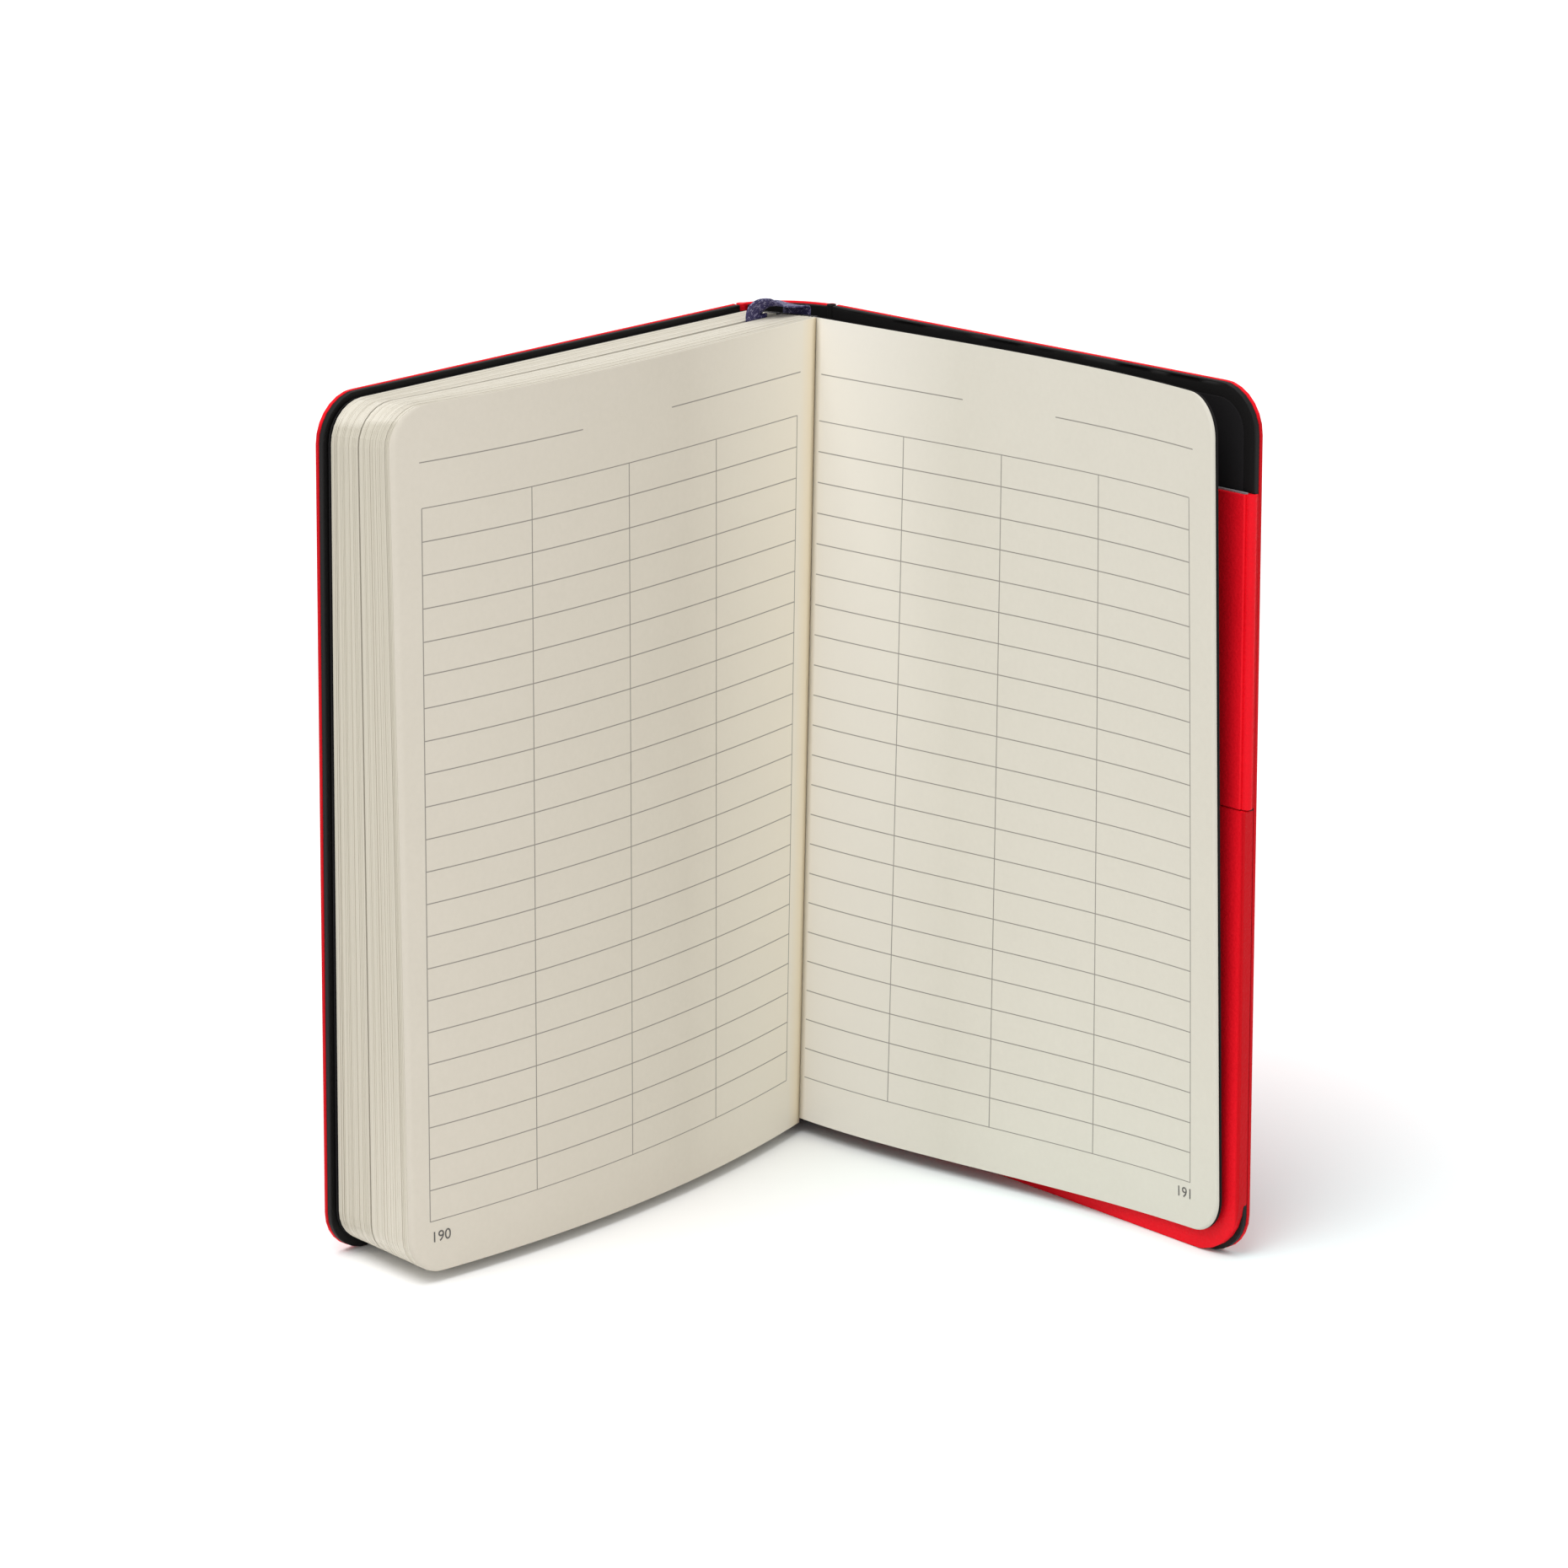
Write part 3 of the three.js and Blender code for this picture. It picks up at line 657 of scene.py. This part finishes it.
# One mesh of many leaves, each the slab between two sheets and a little out of line with the next.
def leaves(name, body, first, last, nodes):
    b = blockSet
    parts = []
    total = 0
    gap = (1 - b["fill"]) / 2
    for n in range(first, last):
        fore = rng.normal(0, b["foreJitter"])
        high = rng.normal(0, b["highJitter"])
        top = b["top"] + min(b["topMost"], rng.normal(0, b["topJitter"]))
        start = b["groupGap"] if n == b["lastFrom"] else gap
        low = shifted(leafSheet(n + start + 1e-6), fore, high)
        up = shifted(leafSheet(n + 1 - gap), fore, high)
        verts, faces, page = slabData(frontAt, low, up, b["tail"], top, (b["corner"], b["corner"]),
                                      b["width"], 15, 8, 7)
        parts.append((verts, faces + total, page))
        total += len(verts)
    made = makeObject(name, *(np.concatenate(kind) for kind in zip(*parts)), leafCream, smooth=False)
    settle(made, body, "cream_paper", *nodes)


leaves("leavesBefore", "leaf_block", 0, blockSet["ribbonAfter"],
       [f"section_{k:02d}" for k in range(1, 6)] + ["section_06_front_half"])
leaves("leavesAfter", "leaf_block", blockSet["ribbonAfter"], blockSet["lastFrom"],
       ["section_06_rear_half"] + [f"section_{k:02d}" for k in range(7, 12)])
leaves("lastLeaves", "last_leaves", blockSet["lastFrom"], blockSet["leaves"] - 1, ["last_section_leaves"])
print("leaves made")

# Printed spread. Distances across run from the gutter, and heights from the tail.
leftSet = {
    "line": 0.22, "soft": 0.13, "ink": 0.8, "columns": 4,
    "left": 5.92, "right": 111.96, "step": 26.51, "header": 159.2, "pitch": 6.605, "rows": 22,
    "rowsFrom": 5.92,
    # Painted light towards the gutter: its width, strength and tone.
    "tilt": 0.0055, "paintedLightWidth": 42.0, "pale": 0.95, "paintedLightTone": (0.86, 0.81, 0.70),
    "topAt": 168.2, "topRules": [(5.0, 46.2), (71.8, 112.4)],
    # Painted warm shade in the gutter: its width and strength.
    "gutterWidth": 5.0, "gutterTint": 0.75,
    "dark": (0.615, 0.57, 0.485), "light": (0.67, 0.62, 0.535),
}
rightSet = dict(leftSet)
rightSet.update({
    "left": -1.33, "right": 104.71, "header": 157.25, "pitch": 6.547,
    "rowsFrom": 1.35,
    # Painted light towards the gutter: its width, strength and tone.
    "tilt": -0.002, "paintedLightWidth": 40.0, "pale": 0.85, "paintedLightTone": (0.83, 0.80, 0.735),
    "topAt": 167.1, "topRules": [(1.7, 41.0), (66.2, 106.0)],
    # Painted warm shade in the gutter: its width and strength.
    "gutterWidth": 3.0, "gutterTint": 0.1,
    "dark": (0.605, 0.58, 0.505), "light": (0.65, 0.625, 0.55),
})


# A printed leaf: the slab between two sheets.
def printed(name, at, sheets, tail, printSet, body, *nodes):
    b = blockSet
    data = slabData(at, *sheets, tail, b["top"], (b["corner"], b["corner"]), b["width"], 72, 30, 12)
    settle(makeObject(name, *data, printedPage(name + "Print", printSet)), body, "cream_paper", *nodes)


lastSheets = (leafSheet(blockSet["leaves"] - 0.7), leafSheet(blockSet["leaves"] - 0.3))
printed("page190", frontAt, lastSheets, blockSet["tail"], leftSet, "last_leaves")

# Loose leaves on the back leg: from the gutter they come down to rest over the back cover. The page and the
# flyleaf lie between two offsets from one sheet.
looseSet = {
    "page": (0.05, 0.15),
    "fly": (-0.5, -0.34),
    "flyPast": 0.2,
    "flyWidth": 116.0,
    "rootClear": 0.05,
    "tail": 3.5,
    "ride": 1.6,
    "rideShape": 6,
    "fore": 116.6,
    "restTail": 4.2,
    "restHead": 9.1,
    "dipTail": 2.0,
    "dipHead": 3.9,
    "swayTail": 2.3,
    "swayHead": 1.1,
}


# The loose leaves' root in the back leg's measures: the last fold, a little clear of it.
def gutterPoint(z):
    u, v = foldPoint(1.0, z)
    x, y, z = frontAt(u, v + looseSet["rootClear"], z)
    lean = math.radians(-caseSet["back"])
    dx = x - caseSet["spine"] / 2
    dy = y - backY
    return dx * math.cos(lean) + dy * math.sin(lean), dx * math.sin(lean) - dy * math.cos(lean)


# A point over the back cover, raised where the loose leaves' tail corner rides up on the pocket: by a high
# power of its distance from the hinge, times its share of the way down from the head.
def ridingAt(u, v, z):
    q = looseSet
    lift = q["ride"] * (u / q["fore"]) ** q["rideShape"] * (1 - z / caseSet["height"])
    return backAt(u, v, z + lift)


# The loose sheet: a straight fall from the gutter to the fore-edge less a dip, plus a slight sway.
def looseSheet(offset):
    q = looseSet

    def sheet(along, z):
        up = z / caseSet["height"]
        rootU, rootV = gutterPoint(z)
        rest = mixed(rootV, mixed(q["restTail"], q["restHead"], up), along)
        dip = mixed(q["dipTail"], q["dipHead"], up) * 4 * along * (1 - along)
        sway = mixed(q["swayTail"], q["swayHead"], up) * 8 * along * (1 - along) * (1 - 2 * along)
        return mixed(rootU, q["fore"], along), rest - dip + sway + offset
    return sheet


# The black flyleaves. The front one lies flat on the first leaf, between two heights.
flySet = {
    "heights": (1.66, 1.9),
    "past": 0.2,
    "edge": 0.05,
}


def flyleaves():
    q = looseSet
    b = blockSet
    corners = (b["corner"], b["corner"])
    low, high = (shifted(looseSheet(offset), q["flyPast"], 0) for offset in q["fly"])
    data = slabData(ridingAt, low, high, q["tail"], b["top"], corners, q["flyWidth"], 60, 24, 10)
    settle(makeObject("rearFlyleaf", *data, paperBlack), "rear_flyleaf", "black_paper", "rear_flyleaf")
    box = (b["fold"], b["foreFirst"] + flySet["past"], b["tail"], b["top"])
    front = plate("frontFlyleaf", frontAt, paperBlack, box, flySet["heights"], corners, flySet["edge"],
                  columns=26)
    settle(front, "leaf_block", "black_paper", "front_flyleaf")


looseSheets = [looseSheet(offset) for offset in looseSet["page"]]
printed("page191", ridingAt, looseSheets, looseSet["tail"], rightSet, "leaf_191", "leaf_191")
flyleaves()
print("pages made")

# Page numbers in the outer corners. A number's flat figures are laid on the page's sheet, with the middle so
# far from the gutter and the foot so far up.
numberSet = {
    "size": 3.2,
    "lift": 0.05,
    "left": {"width": 118.0, "middle": 110.3, "foot": 8.8, "way": -1.0},
    "right": {"width": 112.9, "middle": 102.6, "foot": 9.8, "way": 1.0},
}


def pageNumber(text, at, sheet, side, body):
    curve = bpy.data.curves.new("number" + text, "FONT")
    curve.body = text
    curve.size = numberSet["size"]
    curve.align_x = "CENTER"
    shape = bpy.data.objects.new("number" + text, curve)
    flat = bpy.data.meshes.new_from_object(shape)
    bpy.data.objects.remove(shape)
    points = np.empty(len(flat.vertices) * 3)
    flat.vertices.foreach_get("co", points)
    points = points.reshape(-1, 3)
    z = side["foot"] + points[:, 1]
    u, v = sheet((side["middle"] + points[:, 0] * side["way"]) / side["width"], z)
    placed = np.column_stack(at(u, v + numberSet["lift"], z)) * mm
    flat.vertices.foreach_set("co", placed.astype(np.float32).ravel())
    flat.materials.clear()
    flat.materials.append(ink)
    flat.update()
    made = bpy.data.objects.new("pageNumber" + text, flat)
    bpy.context.scene.collection.objects.link(made)
    settle(made, body, "cream_paper")


pageNumber("190", frontAt, lastSheets[1], numberSet["left"], "last_leaves")
pageNumber("191", ridingAt, looseSheets[1], numberSet["right"], "leaf_191")
print("page numbers made")

# The back of the block: gauze, and a band at the head and at the tail.
backSet = {
    "clear": 0.4,
    "gauze": 0.35,
    "margin": 14.0,
    "band": 0.9,
    "start": 0.16,
    "end": 0.97,
}


# A point behind the back: its share of the way across, its height and its distance from the folds.
def behindBack(share, z, away):
    u, v = foldPoint(share, z)
    nextU, nextV = foldPoint(share + 0.01, z)
    length = np.hypot(nextU - u, nextV - v)
    return u - away * (nextV - v) / length, v + away * (nextU - u) / length


# A sheet that runs along the back at one distance from it.
def backSheet(away):
    def sheet(along, z):
        return behindBack(mixed(backSet["end"], backSet["start"], along), z, away)
    return sheet


def blockBack():
    q = backSet
    b = blockSet
    data = slabData(frontAt, backSheet(q["clear"] + q["gauze"]), backSheet(q["clear"]),
                    b["tail"] + q["margin"], b["top"] - q["margin"], (0, 0), columns=6, middleSteps=8)
    settle(makeObject("spineGauze", *data, gauzeWhite), "leaf_block", "gauze", "spine_gauze")
    for node, z in (("head_band", b["top"] - q["band"]), ("tail_band", b["tail"] + q["band"])):
        shares = np.linspace(q["start"], q["end"], 15)
        u, v = behindBack(shares, z, q["clear"] + q["band"])
        centres = np.column_stack(frontAt(u, v, z + 0 * u))
        way = centres[-1] - centres[0]
        way = way / np.linalg.norm(way)
        through = np.array([0, 0, 1.0])
        across = np.cross(way, through)
        band = sweep(node.replace("_", ""), centres, np.tile(across, (15, 1)), np.tile(through, (15, 1)),
                     circle(q["band"]), bandBlack, 0.2)
        settle(band, "leaf_block", "black_band", node)


ribbonSet = {
    "width": 6.5,
    "thick": 0.3,
    "tail": 12.0,
    "glued": 28.0,
    "arch": 2.3,
    "rise": 0.9,
    "turned": 0.7,
    "inset": 7.0,
    "back": 0.62,
    "steps": 36,
}


# The ribbon's middle line and spin: up the back, over the head in half an ellipse, and down between leaves.
def ribbonPath(slot):
    q = ribbonSet
    b = blockSet
    away = backSet["clear"] * 2 + backSet["gauze"] + q["thick"] / 2 + 2 * backSet["band"]
    inShare = q["inset"] / (b["foreFirst"] - b["fold"])
    glued = np.linspace(b["top"] - q["glued"], b["top"] - 2, 5)
    part = np.linspace(0, 1, q["steps"])
    over = b["top"] + q["rise"] + (q["arch"] - q["rise"]) * np.sin(math.pi * part)
    down = np.array([b["top"] + q["rise"] / 4, b["top"] - 6, b["top"] / 2, q["tail"]])
    share = (1 - np.cos(math.pi * part)) / 2
    upU, upV = behindBack(q["back"], glued, away)
    backU, backV = behindBack(q["back"], b["top"], away)
    inU, inV = slot(inShare, b["top"])
    downU, downV = slot(inShare, down)
    u = np.concatenate([upU, mixed(backU, inU, share), downU])
    v = np.concatenate([upV, mixed(backV, inV, share), downV])
    turn = np.concatenate([0 * glued, np.minimum(1.0, part / q["turned"]), 1 + 0 * down])
    return u, v, np.concatenate([glued, over, down]), turn


# The ribbon is a thin strip carried along its path. Its width lies along the folds where it is glued, and
# turns smoothly to lie along the leaves.
def ribbon():
    q = ribbonSet
    b = blockSet
    slot = leafSheet(b["ribbonAfter"], b["slot"] / 2)
    u, v, z, turn = ribbonPath(slot)
    centres = np.column_stack(frontAt(u, v, z))
    along = np.gradient(centres, axis=0)
    along = along / np.linalg.norm(along, axis=1)[:, None]
    width = b["foreFirst"] - b["fold"]
    startU, startV = foldPoint(q["back"], z)
    endU, endV = foldPoint(q["back"] + 0.1, z)
    nearU, nearV = slot((q["inset"] - 1) / width, z)
    farU, farV = slot((q["inset"] + 1) / width, z)
    spin = mixed(np.arctan2(endV - startV, endU - startU), np.arctan2(farV - nearV, farU - nearU),
                 turn * turn * (3 - 2 * turn))
    across = np.column_stack(frontAt(u + np.cos(spin), v + np.sin(spin), z)) - centres
    across = across - along * np.sum(along * across, axis=1)[:, None]
    across = across / np.linalg.norm(across, axis=1)[:, None]
    xs = np.linspace(-q["width"] / 2, q["width"] / 2, 9)
    t = np.full(9, q["thick"] / 2)
    profile = np.concatenate([np.column_stack([xs, -t]), np.column_stack([xs[::-1], t])])
    made = sweep("ribbon", centres, across, np.cross(along, across), profile, ribbonNavy)
    settle(made, "leaf_block", "navy_ribbon", "ribbon")


blockBack()
ribbon()
print("back of the block and ribbon made")

# Closure flap on the inside of the back cover: a gusset with its lining, a roller at the fold on the
# fore-edge, one at the crease, and the tongue. The strip behind the fold stays on the cover.
flapSet = {
    "low": 95.5,
    "high": 159.1,
    "gusset": 19.5,
    "tongue": 22.5,
    "roll": 0.9,
    "corner": 5.0,
    "back": 1.7,
    "front": 2.8,
    "tongueFront": 3.6,
    "tongueEdge": 0.35,
    "creaseGap": 0.85,
    "crease": 0.55,
    "lining": 0.35,
    "liningEdge": 0.08,
    "lip": 0.3,
    "strip": 1.0,
    "stripPast": 0.02,
    "stripHeights": (-0.2, 0.95),
    "root": 0.25,
    "fold": 1.15,
    "edge": 0.3,
}


def flap():
    q = flapSet
    low = q["low"]
    high = q["high"]
    swingU = caseSet["width"] - q["roll"]
    creaseU = swingU - q["gusset"]
    middle = (q["back"] + q["front"]) / 2
    gussetU = creaseU + q["creaseGap"]
    rootU = swingU - q["root"]
    inner = q["back"] + q["lining"]
    gusset = plate("flapGusset", backAt, red, (gussetU, rootU, low, high), (inner, q["front"]), (0, 0),
                   q["edge"])
    settle(gusset, "flap", "red_skin", "flap_gusset_skin")
    # The lining is grey, partly as a painted glint along its top edge.
    under = plate("flapLining", backAt, edgeGreyAndGlint, (gussetU, rootU, low, high + q["lip"]), (q["back"], inner),
                  (0, 0), q["liningEdge"])
    settle(under, "flap", "black_lining", "flap_gusset_lining")
    edge = caseSet["width"]
    strip = plate("flapHinge", backAt, red, (edge - q["strip"], edge + q["stripPast"], low, high),
                  q["stripHeights"], (0, 0), q["edge"], columns=4)
    settle(strip, "back_cover", "red_skin")
    fold = roller("flapFold", backAt, swingU, middle / 2, q["fold"], low, high, red, q["edge"])
    settle(fold, "flap", "red_skin")
    crease = roller("flapCrease", backAt, creaseU, middle, q["crease"], low, high, red)
    settle(crease, "flap", "red_skin")
    tongue = plate("flapTongue", backAt, red, (creaseU, creaseU - q["tongue"], low, high),
                   (q["tongueFront"], q["back"]), (q["corner"], q["corner"]), q["tongueEdge"])
    settle(tongue, "flap", "red_skin", "flap_tongue_skin", "flap_tongue_card", "flap_tongue_lining",
           "flap_magnet_upper", "flap_magnet_lower")


# Pocket: a red plate over the lower half of the back cover.
pocketSet = {
    "top": 95.3,
    "inset": 0.02,
    "start": 5.0,
    "corner": 12.3,
    "low": -0.1,
    "high": 2.6,
    "edge": 0.3,
}


def pocket():
    q = pocketSet
    box = (q["start"], caseSet["width"] - q["inset"], q["inset"], q["top"])
    panel = plate("pocketPanel", backAt, red, box, (q["low"], q["high"]), (q["corner"], 0), q["edge"],
                  columns=26)
    settle(panel, "back_cover", "red_skin", "pocket_panel")


flap()
pocket()
print("flap and pocket made")

# Floor and light, in metres.
stageSet = {
    "floor": 8.0,
    "white": (0.95, 0.95, 0.95),
    "cool": (0.79, 0.95, 0.95),
    "coolAt": (0.095, -0.06, 0.0),
    "coolReach": 0.115,
    "sky": 0.80,
    "sun": 1.8,
    "sunAngle": 38.0,
    "sunFrom": (-0.75, -0.75, 2.5),
}


# Floor: white, and cooler towards one point beside the red cover, to offset the red light that it throws.
def floorPaper():
    q = stageSet
    s = Surface("floorWhite", q["white"], 0.9, Specular_IOR_Level=0.1)
    away = s.node("ShaderNodeVectorMath", {"operation": "DISTANCE"})
    s.put(away.inputs[0], s.place())
    s.put(away.inputs[1], q["coolAt"])
    near = (1.0 - (Value(s.tree, away.outputs["Value"]) / q["coolReach"])).clip()
    s.colour(s.mix(near, q["white"], q["cool"]))
    return s.material


def stage():
    q = stageSet
    s = q["floor"]
    mesh = bpy.data.meshes.new("floor")
    mesh.from_pydata([(-s, -s, 0), (s, -s, 0), (s, s, 0), (-s, s, 0)], [], [(0, 1, 2, 3)])
    mesh.materials.append(floorPaper())
    floor = bpy.data.objects.new("floor", mesh)
    bpy.context.scene.collection.objects.link(floor)
    world = bpy.data.worlds.new("world")
    bpy.context.scene.world = world
    world.use_nodes = True
    background = world.node_tree.nodes["Background"]
    background.inputs[0].default_value = (1, 1, 1, 1)
    background.inputs[1].default_value = q["sky"]
    sun = bpy.data.lights.new("sun", "SUN")
    sun.energy = q["sun"]
    sun.angle = math.radians(q["sunAngle"])
    lamp = bpy.data.objects.new("sun", sun)
    lamp.rotation_euler = (-Vector(q["sunFrom"])).to_track_quat("-Z", "Y").to_euler()
    bpy.context.scene.collection.objects.link(lamp)


def camera():
    data = bpy.data.cameras.new("camera")
    data.lens = cameraSet["lens"]
    data.sensor_width = 36.0
    made = bpy.data.objects.new("camera", data)
    place = Matrix.Translation(Vector(cameraSet["place"]) * mm)
    pitch = Matrix.Rotation(math.pi / 2 - cameraSet["pitch"], 4, "X")
    made.matrix_world = place @ pitch @ Matrix.Rotation(cameraSet["roll"], 4, "Z")
    bpy.context.scene.collection.objects.link(made)
    bpy.context.scene.camera = made


stage()
camera()
bpy.context.scene.view_settings.view_transform = "Standard"

print("scene made")
